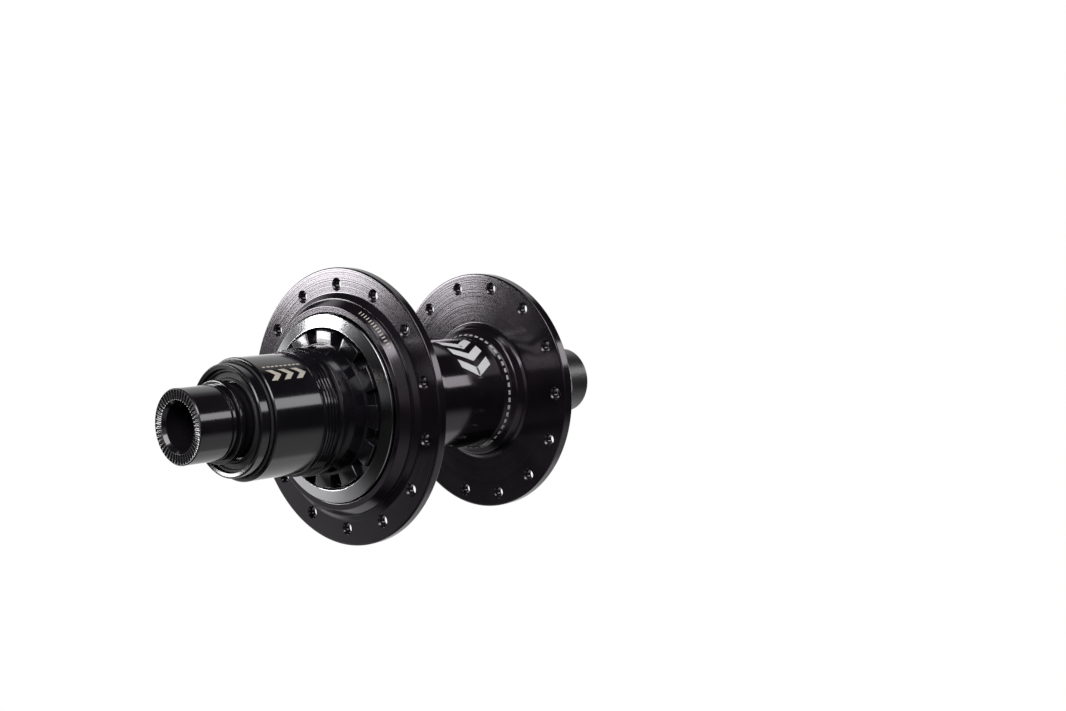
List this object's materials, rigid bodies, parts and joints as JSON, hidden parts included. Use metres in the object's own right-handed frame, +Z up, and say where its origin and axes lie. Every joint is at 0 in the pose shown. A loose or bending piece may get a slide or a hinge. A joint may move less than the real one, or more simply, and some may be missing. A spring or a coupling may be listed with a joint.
{
  "type": "bicycle hub",
  "caption": "Rear bicycle hub with a drilled flange at each end of a waisted barrel, a freewheeling threaded driver body and a hollow axle.",
  "frame": {"origin": "on the axle's centre line, halfway between the two end faces", "axes": "Y along the axle with the driver end at -Y and the disc rotor end at +Y, +Z up, the wheel rolling forwards turns from +Z towards +X"},
  "size_m": [0.0742, 0.142, 0.0742],
  "materials": {
    "black_anodised": "gloss black anodised",
    "cap_anodised": "satin black anodised",
    "satin_alloy": "satin",
    "bearing_steel": "ground",
    "tool_steel": "hardened, wire cut",
    "spring_steel": "blued strip",
    "seal_rubber": "matte",
    "cage_nylon": "moulded"
  },
  "bodies": {
    "axle_set": {"axle": "satin_alloy", "drive_end_cap": "cap_anodised", "disc_end_cap": "cap_anodised", "drive_cap_o_ring": "seal_rubber", "disc_cap_o_ring": "seal_rubber", "driver_outer_bearing_inner_race": "bearing_steel", "driver_inner_bearing_inner_race": "bearing_steel", "drive_side_bearing_inner_race": "bearing_steel", "disc_side_bearing_inner_race": "bearing_steel", "driver_bearing_spacer": "satin_alloy", "hub_bearing_spacer": "satin_alloy"},
    "shell_set": {"hub_shell": "black_anodised", "drum_seal_ring": "satin_alloy", "drum_lip_seal": "seal_rubber", "ratchet_ring": "tool_steel", "disc_end_seal": "seal_rubber", "drive_side_bearing_outer_race": "bearing_steel", "drive_side_bearing_outboard_seal": "seal_rubber", "drive_side_bearing_inboard_seal": "seal_rubber", "disc_side_bearing_outer_race": "bearing_steel", "disc_side_bearing_outboard_seal": "seal_rubber", "disc_side_bearing_inboard_seal": "seal_rubber"},
    "driver_set": {"driver_body": "black_anodised", "driver_o_ring": "seal_rubber", "driver_end_seal": "seal_rubber", "driver_outer_bearing_outer_race": "bearing_steel", "driver_outer_bearing_outboard_seal": "seal_rubber", "driver_outer_bearing_inboard_seal": "seal_rubber", "driver_inner_bearing_outer_race": "bearing_steel", "driver_inner_bearing_outboard_seal": "seal_rubber", "driver_inner_bearing_inboard_seal": "seal_rubber", "pawl_spring_1": "spring_steel", "pawl_spring_2": "spring_steel", "pawl_spring_3": "spring_steel"},
    "pawl_1": {"pawl_1": "tool_steel"},
    "pawl_2": {"pawl_2": "tool_steel"},
    "pawl_3": {"pawl_3": "tool_steel"},
    "driver_outer_balls": {"driver_outer_bearing_ball_cage": "cage_nylon"},
    "driver_inner_balls": {"driver_inner_bearing_ball_cage": "cage_nylon"},
    "drive_side_balls": {"drive_side_bearing_ball_cage": "cage_nylon"},
    "disc_side_balls": {"disc_side_bearing_ball_cage": "cage_nylon"}
  },
  "joints": [
    {"name": "shell_spin", "type": "hinge", "parent": "axle_set", "child": "shell_set", "pos_m": [0, 0, 0], "axis": [0, 1, 0], "continuous": true},
    {"name": "driver_spin", "type": "hinge", "parent": "axle_set", "child": "driver_set", "pos_m": [0, 0, 0], "axis": [0, 1, 0], "continuous": true},
    {"name": "pawl_1_pivot", "type": "hinge", "parent": "driver_set", "child": "pawl_1", "pos_m": [0, -0.0158, 0.016], "axis": [0, 1, 0], "range_deg": [-12, 0], "stiffness_Nm_per_rad": 0.003, "springref_deg": -40.11},
    {"name": "pawl_2_pivot", "type": "hinge", "parent": "driver_set", "child": "pawl_2", "pos_m": [0.01386, -0.0158, -0.008], "axis": [0, 1, 0], "range_deg": [-12, 0], "stiffness_Nm_per_rad": 0.003, "springref_deg": -40.11},
    {"name": "pawl_3_pivot", "type": "hinge", "parent": "driver_set", "child": "pawl_3", "pos_m": [-0.01386, -0.0158, -0.008], "axis": [0, 1, 0], "range_deg": [-12, 0], "stiffness_Nm_per_rad": 0.003, "springref_deg": -40.11},
    {"name": "driver_outer_balls_roll", "type": "hinge", "parent": "axle_set", "child": "driver_outer_balls", "pos_m": [0, 0, 0], "axis": [0, 1, 0], "continuous": true},
    {"name": "driver_inner_balls_roll", "type": "hinge", "parent": "axle_set", "child": "driver_inner_balls", "pos_m": [0, 0, 0], "axis": [0, 1, 0], "continuous": true},
    {"name": "drive_side_balls_roll", "type": "hinge", "parent": "axle_set", "child": "drive_side_balls", "pos_m": [0, 0, 0], "axis": [0, 1, 0], "continuous": true},
    {"name": "disc_side_balls_roll", "type": "hinge", "parent": "axle_set", "child": "disc_side_balls", "pos_m": [0, 0, 0], "axis": [0, 1, 0], "continuous": true}
  ],
  "couplings": [
    {"joint": "driver_outer_balls_roll", "follows": "driver_spin", "ratio": 0.5558},
    {"joint": "driver_inner_balls_roll", "follows": "driver_spin", "ratio": 0.5558},
    {"joint": "drive_side_balls_roll", "follows": "shell_spin", "ratio": 0.5766},
    {"joint": "disc_side_balls_roll", "follows": "shell_spin", "ratio": 0.5766}
  ]
}
